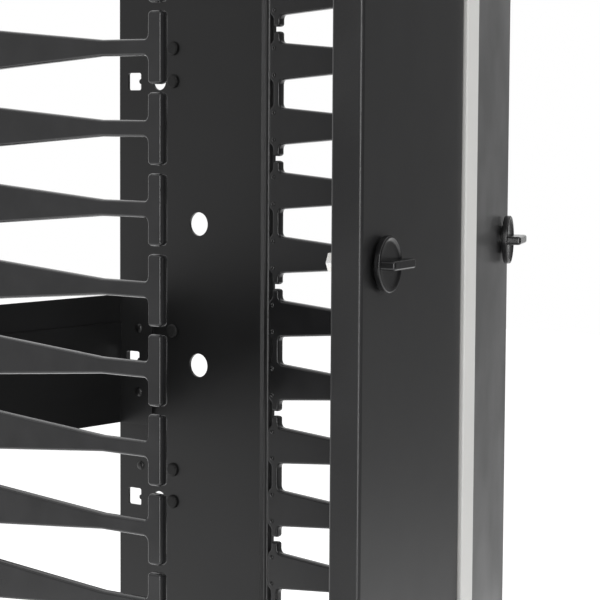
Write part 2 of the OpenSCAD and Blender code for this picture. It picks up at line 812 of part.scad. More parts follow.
// Flat bar with its follower at one end and the hinge pin at the other, drawn latched and
// then drawn back by the part of its travel that released gives
module rod(side, dir, released) {
    tip = rod_reach(dir) - pin_back + rod_travel;
    jog_top = tip - pin_len;
    color([0.55, 0.56, 0.58]) on_door() on_side(side) at_knob() mirror([0, 0, dir > 0 ? 0 : 1])
        translate([0, 0, -rod_travel * released]) {
            translate([0, bar_depth + bar_t / 2, 0]) rotate([90, 0, 0]) linear_extrude(bar_t) {
                translate([-tongue_w / 2, cam_out - tongue_end])
                    square([tongue_w, cam_r + bar_lead - cam_out + tongue_end + eps]);
                translate([-bar_w / 2, cam_r + bar_lead])
                    square([bar_w, jog_top - cam_r - bar_lead]);
                translate([-bar_w / 2, jog_top - jog_h])
                    square([bar_w / 2 + hinge_offset + hinge_pin / 2, jog_h]);
            }
            translate([0, 0, cam_out]) along_axis(cam_w - cam_t, -bar_depth, follower / 2);
            translate([hinge_offset, bar_depth, jog_top - jog_h])
                cylinder(h = pin_len + jog_h, d = hinge_pin);
        }
}

module left_knob() { knob(-1); }
module right_knob() { knob(1); }
module left_spindle() { spindle_shaft(-1); }
module right_spindle() { spindle_shaft(1); }
module left_cam() { cam(-1); }
module right_cam() { cam(1); }
module left_spring() { spring(-1); }
module right_spring() { spring(1); }
module left_nut() { nut(-1); }
module right_nut() { nut(1); }
module left_upper_rod() { rod(-1, 1, 1); }
module left_lower_rod() { rod(-1, -1, 1); }
module right_upper_rod() { rod(1, 1, 0); }
module right_lower_rod() { rod(1, -1, 0); }

left_side_panel();
right_side_panel();
bottom_plate();
top_plate();
lower_cross_member();
middle_cross_member();
upper_cross_member();
cross_member_screws();
plate_screws();
panel_rivets();
hole_plugs();
hinge_bushes();
left_comb_1();
left_comb_2();
left_comb_3();
left_comb_4();
left_comb_5();
left_comb_6();
left_comb_7();
left_comb_8();
right_comb_1();
right_comb_2();
right_comb_3();
right_comb_4();
right_comb_5();
right_comb_6();
right_comb_7();
right_comb_8();
left_comb_rivets();
right_comb_rivets();
door_skin();
door_strip();
door_stiffener();
door_top_cap();
door_bottom_cap();
left_rod_guides();
right_rod_guides();
knob_bushes();
left_knob();
left_spindle();
left_cam();
left_spring();
left_nut();
right_knob();
right_spindle();
right_cam();
right_spring();
right_nut();
left_upper_rod();
left_lower_rod();
right_upper_rod();
right_lower_rod();
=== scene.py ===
# %% [markdown]
# # A tall cable manager, dressed for the camera
#
# The real object stands beside a server rack: two folded steel side walls, combs of plastic
# fingers that sort the patch cables, and a bowed door that opens from either edge. A packed
# model already holds its solids and joints. It could be left as it is with new colours, but
# solids have razor edges, and real folds and mouldings catch the light on rounded ones. So
# this script loads the solids as a fixed frame and builds the visible surfaces around them.
# %% Load the frame
import json
import math

import bmesh
import bpy
import numpy as np
from mathutils import Matrix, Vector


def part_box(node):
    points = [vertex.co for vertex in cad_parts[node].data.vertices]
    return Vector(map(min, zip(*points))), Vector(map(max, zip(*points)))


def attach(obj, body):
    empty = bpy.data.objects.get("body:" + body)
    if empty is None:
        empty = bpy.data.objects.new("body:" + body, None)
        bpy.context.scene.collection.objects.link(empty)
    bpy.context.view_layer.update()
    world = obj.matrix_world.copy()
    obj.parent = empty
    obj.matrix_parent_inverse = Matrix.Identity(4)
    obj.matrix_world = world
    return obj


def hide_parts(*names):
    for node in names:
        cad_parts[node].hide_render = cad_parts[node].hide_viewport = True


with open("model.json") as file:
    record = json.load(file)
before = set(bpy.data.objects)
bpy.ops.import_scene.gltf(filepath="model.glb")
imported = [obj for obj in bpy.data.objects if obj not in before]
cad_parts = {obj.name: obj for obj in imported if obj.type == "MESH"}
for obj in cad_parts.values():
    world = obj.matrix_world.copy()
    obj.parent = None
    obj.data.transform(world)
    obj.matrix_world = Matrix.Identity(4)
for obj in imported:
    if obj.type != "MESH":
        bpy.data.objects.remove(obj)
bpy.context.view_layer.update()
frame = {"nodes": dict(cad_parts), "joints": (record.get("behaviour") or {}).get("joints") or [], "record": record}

MM = 0.001

# %% [markdown]
# ## Where things are
#
# Every place comes from the frame. The bottom plate gives the duct's width, the joints give the
# door's hinge line and the two knob axes, and the hinge's lower limit gives the angle at which
# the door stands open. A depth in this script is a distance forwards from the rear face,
# because that is how the folded parts are drawn in a workshop.
# %% Read the places from the frame
joints = {joint["name"]: joint for joint in frame["joints"]}
hinge_point = np.array(joints["door_hinge"]["pos_m"][:2])
ajar = math.radians(-joints["door_hinge"]["range_deg"][0])
plate_low, plate_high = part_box("bottom_plate")
door_low, door_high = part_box("door_skin")
rear = plate_high.y
half_width = plate_high.x
frame_depth = 2 * rear
crown = (plate_high.y - plate_low.y) - frame_depth
print("door ajar by", round(math.degrees(ajar), 1), "degrees, crown", round(crown / MM, 1), "mm")


def on_door(points):
    """Shut to ajar: a turn about the vertical line through the hinge point."""
    turned = np.array(points, float)
    x, y = (turned[..., 0] - hinge_point[0]), (turned[..., 1] - hinge_point[1])
    turned[..., 0] = hinge_point[0] + x * math.cos(ajar) - y * math.sin(ajar)
    turned[..., 1] = hinge_point[1] + x * math.sin(ajar) + y * math.cos(ajar)
    return turned


# %% [markdown]
# ## Surfaces from numpy
#
# Almost every part here is a plate or a bar: one outline carried along one direction. An
# outline could be drawn point by point, but a short list of corners with a radius at each is
# what the toolmaker works from, so the first helper turns corners into arcs. It also returns
# the outward normals, which make it exact to draw the outline in or out later.
# %% Outline with rounded corners
def rounded(corners, radii, steps=4):
    """Closed outline, anticlockwise, with an arc at each corner.

    The arc of radius r touches both sides at r / tan(half the corner's angle) from the corner,
    and its centre lies on the bisector at r / sin(half the angle).
    """
    corner = np.array(corners, float)
    radius = np.broadcast_to(np.array(radii, float), len(corner))[:, None]
    back, ahead = np.roll(corner, 1, 0) - corner, np.roll(corner, -1, 0) - corner
    convex = np.sign(-back[:, 0] * ahead[:, 1] + back[:, 1] * ahead[:, 0])[:, None]
    back /= np.linalg.norm(back, axis=1, keepdims=True)
    ahead /= np.linalg.norm(ahead, axis=1, keepdims=True)
    half = np.arccos(np.clip((back * ahead).sum(1), -1, 1))[:, None] / 2
    middle = back + ahead
    middle /= np.linalg.norm(middle, axis=1, keepdims=True)
    centre = corner + middle * radius / np.sin(half)
    start = corner + back * radius / np.tan(half) - centre
    end = corner + ahead * radius / np.tan(half) - centre
    turn = (math.pi - 2 * half)[:, None]
    share = np.linspace(0, 1, steps + 1)[None, :, None]
    first, last = np.sin((1 - share) * turn), np.sin(share * turn)
    arc = (first * start[:, None] + last * end[:, None]) / np.sin(turn)
    outline = (centre[:, None] + arc).reshape(-1, 2)
    normals = (convex[:, None] * arc / radius[:, None]).reshape(-1, 2)
    return outline, normals


# %% [markdown]
# The second helper carries an outline along a third direction and draws it in by a chosen
# inset at each level. Two levels make a cut-off bar. More levels, with insets that follow a
# quarter circle near the ends, make the rounded rim that a mould or a press leaves.
# %% Rings, skins and lathe
def levels(outline, normals, heights, insets):
    """Rings of a plate: ring k is the outline moved in by insets[k], at heights[k]."""
    insets, heights = np.array(insets, float), np.array(heights, float)
    flat = outline[None] - normals[None] * insets[:, None, None]
    height = np.broadcast_to(heights[:, None, None], flat.shape[:2] + (1,))
    return np.concatenate([flat, height], axis=2)


def skin(rings):
    """Quads between neighbouring rings of equal length, and a flat cap on both ends."""
    count, size = rings.shape[:2]
    ring, spot = np.meshgrid(np.arange(count - 1), np.arange(size), indexing="ij")
    ahead = (spot + 1) % size
    quads = np.stack([ring * size + spot, ring * size + ahead,
                      (ring + 1) * size + ahead, (ring + 1) * size + spot], axis=-1)
    caps = [list(range(size - 1, -1, -1)), list(range((count - 1) * size, count * size))]
    return rings.reshape(-1, 3), quads.reshape(-1, 4).tolist() + caps


def lathe(profile, sides):
    """Rings of a turned part: each (height, radius) of the profile makes a circle."""
    profile = np.array(profile, float)
    angle = np.linspace(0, 2 * math.pi, sides, endpoint=False)
    radius, height = profile[:, 1, None], profile[:, 0, None]
    return np.stack([radius * np.cos(angle), radius * np.sin(angle), height + 0 * angle], -1)


def repeated(points, faces, copies):
    """The same faces over several sets of points: copies has shape (number, points, 3)."""
    count = len(points)
    return (copies.reshape(-1, 3),
            [[i + n * count for i in face] for n in range(len(copies)) for face in faces])


# %% [markdown]
# A finished piece is one object at the origin, with its place in its mesh, so that patterns
# stay fixed to it when its body moves. `add_piece` makes the mesh, turns its faces outwards,
# sets the material and the body it rides on, and hides the solids it stands for. Weighted
# normals keep the flat faces flat beside their rounded rims.
# %% Make a piece
def dress(piece, material, body, nodes):
    """Gives a piece its finish and body, and hides the solids that it stands for."""
    piece.data.materials.clear()
    piece.data.materials.append(material)
    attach(piece, body)
    if nodes:
        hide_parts(*nodes)
    return piece


def smooth(piece, angle):
    """Smooth shading, with edges sharper than the angle left sharp and flat faces kept flat."""
    piece.data.shade_smooth()
    piece.data.set_sharp_from_angle(angle=math.radians(angle))
    weighted = piece.modifiers.new("flat faces stay flat", "WEIGHTED_NORMAL")
    weighted.keep_sharp = True
    weighted.weight = 100


def add_piece(name, points, faces, material, body, nodes, angle=50):
    """Mesh object from points and faces, its normals turned outwards."""
    mesh = bpy.data.meshes.new(name)
    mesh.from_pydata(np.asarray(points).tolist(), [], faces)
    shape = bmesh.new()
    shape.from_mesh(mesh)
    bmesh.ops.recalc_face_normals(shape, faces=shape.faces)
    shape.to_mesh(mesh)
    shape.free()
    piece = bpy.data.objects.new(name, mesh)
    bpy.context.scene.collection.objects.link(piece)
    smooth(piece, angle)
    return dress(piece, material, body, nodes)


# %% [markdown]
# Folded sheets with dozens of punched holes are already exact in the frame. Rebuilding them
# point by point would only risk mistakes, so a copy of the solid is used: its loose triangles
# are merged, its flats joined, and a narrow bevel breaks every sharp edge, as the powder coat
# does on the real sheet.
# %% Softened copy of a solid
bodies = frame["record"]["behaviour"]["bodies"]
body_of = {node: body for body, nodes in bodies.items() for node in nodes}

SAME_PLACE = 1e-6
FLAT = math.radians(0.3)


def softened(node, material, width, segments=2, angle=35):
    """Merged copy of a node's solid with its edges rounded by width."""
    mesh = frame["nodes"][node].data.copy()
    shape = bmesh.new()
    shape.from_mesh(mesh)
    bmesh.ops.remove_doubles(shape, verts=shape.verts, dist=SAME_PLACE)
    bmesh.ops.dissolve_limit(shape, angle_limit=FLAT, verts=shape.verts, edges=shape.edges)
    shape.to_mesh(mesh)
    shape.free()
    mesh.name = node + "_soft"
    piece = bpy.data.objects.new(mesh.name, mesh)
    bpy.context.scene.collection.objects.link(piece)
    if width:
        bevel = piece.modifiers.new("broken edges", "BEVEL")
        bevel.width, bevel.segments = width, segments
        bevel.limit_method, bevel.angle_limit = "ANGLE", math.radians(angle)
        bevel.miter_outer = "MITER_ARC"
        bevel.use_clamp_overlap = True
    smooth(piece, angle)
    return dress(piece, material, body_of[node], [node])


# %% [markdown]
# ## Finishes
#
# Each finish is a Principled shader fed by noise on Object coordinates. A picture could be
# wrapped round the parts instead, but noise has no seams, works at any size and needs no
# unwrapping. Sizes below are the real size of the grain, so a noise scale is one over it.
# %% Node helpers
def new_finish(name):
    """Material with a Principled shader and Object coordinates ready to feed noise."""
    material = bpy.data.materials.new(name)
    material.use_nodes = True
    tree = material.node_tree
    shader = tree.nodes["Principled BSDF"]
    place = tree.nodes.new("ShaderNodeTexCoord").outputs["Object"]
    return material, tree, shader, place


def noise(tree, place, size, detail=2.0, stretch=(1, 1, 1)):
    """Noise whose blobs are about size metres across, drawn out along an axis by stretch."""
    mapping = tree.nodes.new("ShaderNodeMapping")
    mapping.inputs["Scale"].default_value = [1 / s for s in stretch]
    texture = tree.nodes.new("ShaderNodeTexNoise")
    texture.inputs["Scale"].default_value = 1 / size
    texture.inputs["Detail"].default_value = detail
    tree.links.new(place, mapping.inputs["Vector"])
    tree.links.new(mapping.outputs["Vector"], texture.inputs["Vector"])
    return texture.outputs["Fac"]


def spread(tree, value, low, high, start=0.35, end=0.65):
    """The value from start to end becomes low to high."""
    node = tree.nodes.new("ShaderNodeMapRange")
    limits = {"From Min": start, "From Max": end, "To Min": low, "To Max": high}
    for socket, number in limits.items():
        node.inputs[socket].default_value = number
    tree.links.new(value, node.inputs["Value"])
    return node.outputs["Result"]


def two_tones(tree, value, dark, light):
    """Colour between dark and light by the value."""
    ramp = tree.nodes.new("ShaderNodeValToRGB")
    ramp.color_ramp.elements[0].position, ramp.color_ramp.elements[1].position = 0.35, 0.65
    ramp.color_ramp.elements[0].color = (*dark, 1)
    ramp.color_ramp.elements[1].color = (*light, 1)
    tree.links.new(value, ramp.inputs["Fac"])
    return ramp.outputs["Color"]


def relief(tree, shader, value, depth, strength=1.0, under=None):
    """Bump of the given depth in metres; a bump already made can lie under it."""
    bump = tree.nodes.new("ShaderNodeBump")
    bump.inputs["Distance"].default_value = depth
    bump.inputs["Strength"].default_value = strength
    tree.links.new(value, bump.inputs["Height"])
    if under:
        tree.links.new(under, bump.inputs["Normal"])
    tree.links.new(bump.outputs["Normal"], shader.inputs["Normal"])
    return bump.outputs["Normal"]


# %% [markdown]
# Powder coat is sprayed as dry dust and baked, so it flows into tiny bumps, an orange peel
# about half a millimetre across, and a slower waviness. The tone hardly varies; it is the
# roughness and the bumps that make the fine sparkle.
# %% Powder coat
def powder_coat(name, tone, roughness, grain=0.5 * MM, depth=0.02 * MM):
    """Dark painted steel with an orange peel of the grain's size."""
    material, tree, shader, place = new_finish(name)
    fine, slow = noise(tree, place, grain, 3), noise(tree, place, 60 * MM, 3)
    dark, light = [t * 0.86 for t in tone], [t * 1.14 for t in tone]
    tree.links.new(two_tones(tree, fine, dark, light), shader.inputs["Base Color"])
    gloss = spread(tree, slow, roughness - 0.03, roughness + 0.03)
    tree.links.new(gloss, shader.inputs["Roughness"])
    wavy = relief(tree, shader, noise(tree, place, 6 * MM, 1), 0.01 * MM)
    relief(tree, shader, fine, depth, 1.0, wavy)
    return material


sheet_paint = powder_coat("black powder coat", (0.011, 0.011, 0.0115), 0.36)
# Painted light: the walls' black coat made lighter for the cross-members, so that they look lit inside the duct.
lit_member_paint = powder_coat("cross-member coat with painted light", (0.028, 0.028, 0.029), 0.36)
door_paint = powder_coat("door powder coat", (0.013, 0.013, 0.0135), 0.36, 0.7 * MM, 0.04 * MM)


# %% [markdown]
# The strip down the door is a smoother, light grey paint with a trace of warmth. The combs,
# knobs and plugs are moulded: nylon copies the mould's spark-eroded texture, which is finer
# and shallower than paint, and its gloss wanders a little where it was thick or thin.
# %% Strip paint and moulded plastic
def strip_coat():
    """Smooth light grey paint with a very fine peel."""
    material, tree, shader, place = new_finish("light grey coat")
    fine, slow = noise(tree, place, 0.8 * MM, 2), noise(tree, place, 90 * MM, 3)
    tone = two_tones(tree, slow, (0.70, 0.695, 0.675), (0.73, 0.725, 0.705))
    tree.links.new(tone, shader.inputs["Base Color"])
    tree.links.new(spread(tree, fine, 0.34, 0.42), shader.inputs["Roughness"])
    relief(tree, shader, fine, 0.008 * MM)
    return material


def moulded(name, tone, roughness, grain=0.25 * MM, depth=0.008 * MM):
    """Plastic with a fine mould texture and slow drifts in gloss and tone."""
    material, tree, shader, place = new_finish(name)
    fine, slow = noise(tree, place, grain, 2), noise(tree, place, 25 * MM, 3)
    dark, light = [t * 0.9 for t in tone], [t * 1.1 for t in tone]
    tree.links.new(two_tones(tree, slow, dark, light), shader.inputs["Base Color"])
    gloss = spread(tree, slow, roughness - 0.04, roughness + 0.04)
    tree.links.new(gloss, shader.inputs["Roughness"])
    relief(tree, shader, fine, depth)
    return material


strip_paint = strip_coat()
comb_plastic = moulded("comb nylon", (0.020, 0.020, 0.021), 0.22, 0.25 * MM, 0.004 * MM)
knob_plastic = moulded("knob nylon", (0.005, 0.005, 0.0055), 0.24)
plug_plastic = moulded("plug rubber", (0.003, 0.003, 0.003), 0.7)
rivet_paint = moulded("painted rivet", (0.012, 0.012, 0.0125), 0.16)
bush_plastic = moulded("bush acetal", (0.72, 0.71, 0.67), 0.35)
guide_plastic = moulded("guide nylon", (0.014, 0.014, 0.015), 0.45)


# %% [markdown]
# Fasteners and latch parts are zinc plated. Plating shows small crystals and faint drawn
# lines along a bar, with a slightly warm passivation here and there.
# %% Zinc plating
def zinc(name, tone, roughness, stretch=(1, 1, 1)):
    """Plated steel: metallic, with spangles, fine lines along one axis and warm patches."""
    material, tree, shader, place = new_finish(name)
    shader.inputs["Metallic"].default_value = 1.0
    spangle = noise(tree, place, 1.2 * MM, 3, stretch)
    warm = [tone[0] * 1.02, tone[1] * 0.98, tone[2] * 0.90]
    patches = two_tones(tree, noise(tree, place, 9 * MM, 3), warm, tone)
    tree.links.new(patches, shader.inputs["Base Color"])
    gloss = spread(tree, spangle, roughness - 0.08, roughness + 0.08)
    tree.links.new(gloss, shader.inputs["Roughness"])
    relief(tree, shader, spangle, 0.01 * MM)
    return material


rivet_zinc = zinc("rivet zinc", (0.50, 0.50, 0.51), 0.30)
latch_zinc = zinc("latch zinc", (0.66, 0.67, 0.69), 0.26)
bar_zinc = zinc("bar zinc", (0.52, 0.53, 0.55), 0.32, (1, 1, 30))
spring_wire = zinc("spring wire", (0.45, 0.45, 0.47), 0.24)

# %% [markdown]
# ## Finger combs
#
# A comb module is one moulding with two fingers on a thin spine. Each finger starts as a tall
# root block beside the wall, tapers to a slim neck and ends in a T head that keeps cables in.
# Its outline is symmetric about each finger, so one finger's corners are written once and
# used twice: up the front of the spine, round the T head, and down the lobes at the back.
# %% Comb outline
PITCH = 44.45 * MM
MODULES = 23
LOBE_REACH, SPINE_WIDTH = 3.4 * MM, 6.1 * MM
HEAD_DEPTH, NECK_LENGTH = 10.4 * MM, 35 * MM
ROOT_HALF, NECK_HALF, HEAD_HALF = 13, 4.7, 20.1
comb_low, comb_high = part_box("right_comb_1")
comb_inner, comb_outer = comb_low.x, comb_high.x
back_of_lobe = rear - comb_high.y
front_of_head = rear - comb_low.y
comb_bottom = (plate_low.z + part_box("top_plate")[1].z) / 2 - MODULES * PITCH
spine_back = back_of_lobe + LOBE_REACH
spine_front = spine_back + SPINE_WIDTH
head_back = front_of_head - HEAD_DEPTH
neck_start = head_back - NECK_LENGTH
module_end = 1.5 * MM


def comb_outline():
    """Corners of a two-finger module in (depth, height): up its front, down its back.

    Each corner is (depth, height from the finger's middle in mm, radius in mm).
    """
    finger = [(spine_front, -ROOT_HALF, 3), (neck_start, -NECK_HALF, 20),
              (head_back, -NECK_HALF, 3), (head_back, -HEAD_HALF, 2.4),
              (front_of_head, -HEAD_HALF, 2.4)]
    lobe = [(spine_back, 15, 3), (back_of_lobe, 11.5, 4)]
    up = [(d, z * MM + at, r * MM) for at in (PITCH / 2, PITCH * 1.5)
          for d, z, r in finger + [(d, -z, r) for d, z, r in finger[::-1]]]
    down = [(d, z * MM + at, r * MM) for at in (PITCH * 1.5, PITCH / 2)
            for d, z, r in lobe + [(d, -z, r) for d, z, r in lobe[::-1]]]
    top = 2 * PITCH - module_end
    first = [(spine_back, module_end, 2 * MM), (spine_front, module_end, 2 * MM)]
    last = [(spine_front, top, 2 * MM), (spine_back, top, 2 * MM)]
    table = np.array(first + up + last + down)
    return rounded(table[:, :2], table[:, 2])


module_outline, module_normals = comb_outline()
print("comb outline has", len(module_outline), "points")

# %% [markdown]
# A moulded edge is never sharp. Across the thickness the outline follows a superellipse: the
# inset is e (1 - (1 - |t|^p)^(1/p)), with t from -1 to 1 from face to face. It leaves a soft
# crown on the fronts of the T heads, which is where the long highlights sit.
# %% Comb pieces
def crowned(depth, power=2.2):
    """Levels t across a thickness and their insets, by the superellipse above."""
    t = np.array([1, 0.985, 0.93, 0.82, 0.62, 0.3])
    t = np.concatenate([-t, [0], t[::-1]])
    return t, depth * (1 - (1 - np.abs(t) ** power) ** (1 / power))


def section_modules(section, sections=8):
    """First module of a section and the first of the next."""
    return section * MODULES // sections, (section + 1) * MODULES // sections


across, inset = crowned(1.7 * MM)
half_comb = (comb_outer - comb_inner) / 2
module_rings = levels(module_outline, module_normals, half_comb * across, inset)
module_points, module_faces = skin(module_rings)
for side, name in ((-1, "left"), (1, "right")):
    middle = side * (comb_inner + comb_outer) / 2
    for section in range(8):
        first, end = section_modules(section)
        lift = comb_bottom + np.arange(first, end) * 2 * PITCH
        copies = np.stack([middle + np.tile(module_points[:, 2], (len(lift), 1)),
                           rear - np.tile(module_points[:, 0], (len(lift), 1)),
                           module_points[:, 1] + lift[:, None]], axis=-1)
        points, faces = repeated(module_points, module_faces, copies)
        node = f"{name}_comb_{section + 1}"
        add_piece(node + "_moulding", points, faces, comb_plastic, "frame", [node])
print("comb module has", len(module_faces), "faces")

# %% [markdown]
# ## Side walls, cross-members and end plates
#
# These are bent from 2 mm sheet and punched. The softened copies keep every hole where the
# solids have it, and the rounding of about half a millimetre is what a thick coat of powder
# leaves on a cut edge. The cross-members get the same black coat painted lighter. That is
# painted light, standing in for the light that falls on them inside the duct.
# %% Folded steel
for node in ("left_side_panel", "right_side_panel", "bottom_plate", "top_plate",
             "lower_cross_member", "middle_cross_member", "upper_cross_member"):
    # The cross-members take the lighter copy of the black coat, which is painted light.
    paint = lit_member_paint if "member" in node else sheet_paint
    piece = softened(node, paint, 0.45 * MM)
    print(piece.name, len(piece.data.polygons), "faces before the bevel")

# %% [markdown]
# ## The door
#
# The door is one sheet, folded back at both edges, bowed by two flat facets and pressed into a
# shallow channel for the strip. Its section is a single closed outline: along the outside from
# lip to lip, then back along the inside. Folds have a 2 mm radius outside and a small one
# inside, and those radii draw the bright lines down the real door.
# %% Door section
SHEET = 1.5 * MM
FLANGE, LIP = 17.4 * MM, 6 * MM
CHANNEL_DEEP = 1.5 * MM
slope = crown / half_width
flange_back = frame_depth - FLANGE
channel = 13.5 * MM
channel_floor = frame_depth + crown * (1 - channel / half_width) - CHANNEL_DEEP
door_bottom, door_top = door_low.z, door_high.z


def facet_depth(x, below=0.0):
    """Depth of a facet's face at x: it falls evenly from the crown to the edges."""
    return frame_depth + crown * (1 - abs(x) / half_width) - below * math.hypot(1, slope)


def door_half():
    """Corners (x, depth, radius) of the right half: outside from the lip, then the inside."""
    edge, lip = half_width, half_width - LIP
    outside = [(lip, flange_back, 0.3), (edge, flange_back, 2.0), (edge, frame_depth, 2.2),
               (channel, facet_depth(channel), 0.7), (channel, channel_floor, 0.4)]
    inner, wall = edge - SHEET, channel + SHEET
    inside = [(lip, flange_back + SHEET, 0.3), (inner, flange_back + SHEET, 0.5),
              (inner, facet_depth(inner, SHEET), 0.7), (wall, facet_depth(wall, SHEET), 0.4),
              (wall, channel_floor - SHEET, 0.4)]
    return outside, inside


outside, inside = door_half()
flip = [(-x, d, r) for x, d, r in outside], [(-x, d, r) for x, d, r in inside]
door_table = np.array(outside + flip[0][::-1] + flip[1] + inside[::-1])
door_outline, door_normals = rounded(door_table[:, :2], door_table[:, 2] * MM, steps=5)


def upright(outline, normals, low, high, ease):
    """Bar standing from low to high, its cut ends eased by a small chamfer."""
    return levels(outline, normals, [low, low + ease, high - ease, high], [ease, 0, 0, ease])


def door_place(rings):
    """(x, depth, z) of the shut door to where the door stands."""
    return on_door(np.stack([rings[..., 0], rear - rings[..., 1], rings[..., 2]], -1))


door_rings = upright(door_outline, door_normals, door_bottom, door_top, 0.2 * MM)
points, faces = skin(door_place(door_rings))
door_sheet = add_piece("door_sheet", points, faces, door_paint, "door", ["door_skin"])
print("door sheet has", len(door_sheet.data.polygons), "faces")

# %% [markdown]
# The strip lies in the channel and stands a little proud of the crown. Its long edges are
# eased, so the pale face ends in a soft line above the dark groove.
# %% Door strip
STRIP_HALF, STRIP_PROUD = 12, 0.8 * MM
strip_front = frame_depth + crown + STRIP_PROUD
strip_table = np.array([(-STRIP_HALF, channel_floor, 0.4), (STRIP_HALF, channel_floor, 0.4),
                        (STRIP_HALF, strip_front, 1.0), (-STRIP_HALF, strip_front, 1.0)])
strip_table = strip_table * [MM, 1, MM]
strip_outline, strip_normals = rounded(strip_table[:, :2], strip_table[:, 2], steps=5)
strip_rings = upright(strip_outline, strip_normals, door_bottom, door_top, 0.3 * MM)
points, faces = skin(door_place(strip_rings))
add_piece("pale_strip", points, faces, strip_paint, "door", ["door_strip"])

# %% [markdown]
# ## Knobs
#
# A knob is a dished disc on a narrower hub, with a bar grip across it. The disc is turned: its
# profile runs up the hub, round the rim and down into the dish. The grip is a rounded bar whose outer
# end is crowned, so a thumb doesn't meet an edge.
# %% Knob shapes
def knob_frame(joint):
    """Centre, right, up and outward directions of a knob, from its joint."""
    outward = -np.array(joint["axis"], float)
    up = np.array([0.0, 0.0, 1.0])
    right = np.cross(up, outward)
    return np.array(joint["pos_m"]), right, up, outward


def place_knob(points, joint):
    """(across, up, out) in the knob's frame to the row's frame."""
    centre, right, up, outward = knob_frame(joint)
    return centre + points[..., :1] * right + points[..., 1:2] * up + points[..., 2:] * outward


DISC = 15.25
disc_profile = [(0.3, 5.0), (0.3, 8.9), (1.9, 9.0), (1.9, DISC - 0.7), (2.0, DISC - 0.3),
                (2.4, DISC), (4.8, DISC), (5.2, DISC - 0.12), (5.5, DISC - 0.45), (5.6, DISC - 0.9),
                (5.5, DISC - 1.35), (5.1, DISC - 2.0), (4.75, DISC - 2.9), (4.52, DISC - 4.2),
                (4.42, DISC - 6.5), (4.4, 3.0)]
disc_points, disc_faces = skin(lathe(np.array(disc_profile) * MM, 72))

GRIP = np.array([14.3, 2.65])
grip_corners = np.array([(-1, -1), (1, -1), (1, 1), (-1, 1)]) * GRIP
grip_outline, grip_normals = rounded(grip_corners * MM, 1.7 * MM, steps=5)
grip_heights = np.array([3.0, 4.4, 4.7, 5.6, 12.1, 12.9, 13.45, 13.8, 13.9]) * MM
grip_insets = np.array([-0.5, -0.5, -0.25, 0.0, 0.0, 0.12, 0.4, 0.85, 1.4]) * MM
grip_points, grip_faces = skin(levels(grip_outline, grip_normals, grip_heights, grip_insets))
for name in ("left", "right"):
    joint = joints[f"{name}_latch_turn"]
    points = np.concatenate([place_knob(disc_points, joint), place_knob(grip_points, joint)])
    faces = disc_faces + [[i + len(disc_points) for i in face] for face in grip_faces]
    add_piece(f"{name}_knob_moulding", points, faces, knob_plastic, f"{name}_latch",
              [f"{name}_knob"], 40)

# %% [markdown]
# ## Latch works
#
# Behind each knob a spindle carries a scroll cam, a spring and a nut, and two flat bars run
# in guides to the door's ends. They are plated steel and small, so softened copies of the
# solids are enough, each with its own plating.
# %% Latch and door hardware
for side in ("left", "right"):
    for part, width in (("spindle", 0.3), ("cam", 0.3), ("nut", 0.25)):
        softened(f"{side}_{part}", latch_zinc, width * MM)
    softened(f"{side}_spring", spring_wire, 0, angle=70)
    softened(f"{side}_rod_guides", guide_plastic, 0.5 * MM)
    for end in ("upper", "lower"):
        softened(f"{side}_{end}_rod", bar_zinc, 0.35 * MM)
for node, material in (("door_stiffener", bar_zinc), ("door_top_cap", sheet_paint),
                       ("door_bottom_cap", sheet_paint), ("knob_bushes", bush_plastic),
                       ("hinge_bushes", bush_plastic)):
    softened(node, material, 0.3 * MM)


# %% [markdown]
# ## Rivets, screws and plugs
#
# There are hundreds of small heads. Their places come from the solids themselves: triangles
# that share a corner belong to one solid, so labels are passed along until they settle, and
# each solid's box gives its place. One turned shape with few faces is then repeated.
# %% Places of separate solids
def solid_boxes(node):
    """Lowest and highest corners of each separate solid in a node."""
    mesh = frame["nodes"][node].data
    points = np.zeros(len(mesh.vertices) * 3, np.float32)
    mesh.vertices.foreach_get("co", points)
    points = points.reshape(-1, 3)
    corners = np.zeros(len(mesh.loops), np.int32)
    mesh.loops.foreach_get("vertex_index", corners)
    _, same = np.unique(np.round(points, 6), axis=0, return_inverse=True)
    triangles = same.reshape(-1)[corners].reshape(-1, 3)
    label = np.arange(same.max() + 1)
    while True:
        lowest = label[triangles].min(axis=1)
        settled = label.copy()
        np.minimum.at(settled, triangles, lowest[:, None])
        if (settled == label).all():
            break
        label = settled
    owner = label[same.reshape(-1)]
    groups = [points[owner == k] for k in np.unique(owner)]
    return np.array([(group.min(0), group.max(0)) for group in groups])


# %% [markdown]
# Every one of these fasteners goes through a side wall, so all of them lie along X with the
# head inside the duct. One profile of (height, radius) is turned once, and its copies are only
# added to. A screw for each place could be an object of its own, but hundreds of objects are
# slow to move and to export, so one mesh holds them all.
# %% Heads along X
def heads(node, name, profile, sides, material):
    """Turned fastener through a side wall at each solid: its head faces into the duct."""
    boxes = solid_boxes(node)
    centre = boxes.mean(axis=1)
    side = np.sign(centre[:, 0])
    inner = np.where(side > 0, boxes[:, 0, 0], boxes[:, 1, 0])
    shape, faces = skin(lathe(np.array(profile) * MM, sides))
    copies = np.stack([inner[:, None] + side[:, None] * shape[:, 2],
                       centre[:, 1:2] + shape[:, 0] * np.ones((len(side), 1)),
                       centre[:, 2:] + shape[:, 1] * np.ones((len(side), 1))], axis=-1)
    points, faces = repeated(shape, faces, copies)
    print(name, len(side), "copies of", len(shape), "points")
    return add_piece(name, points, faces, material, "frame", [node], 60)


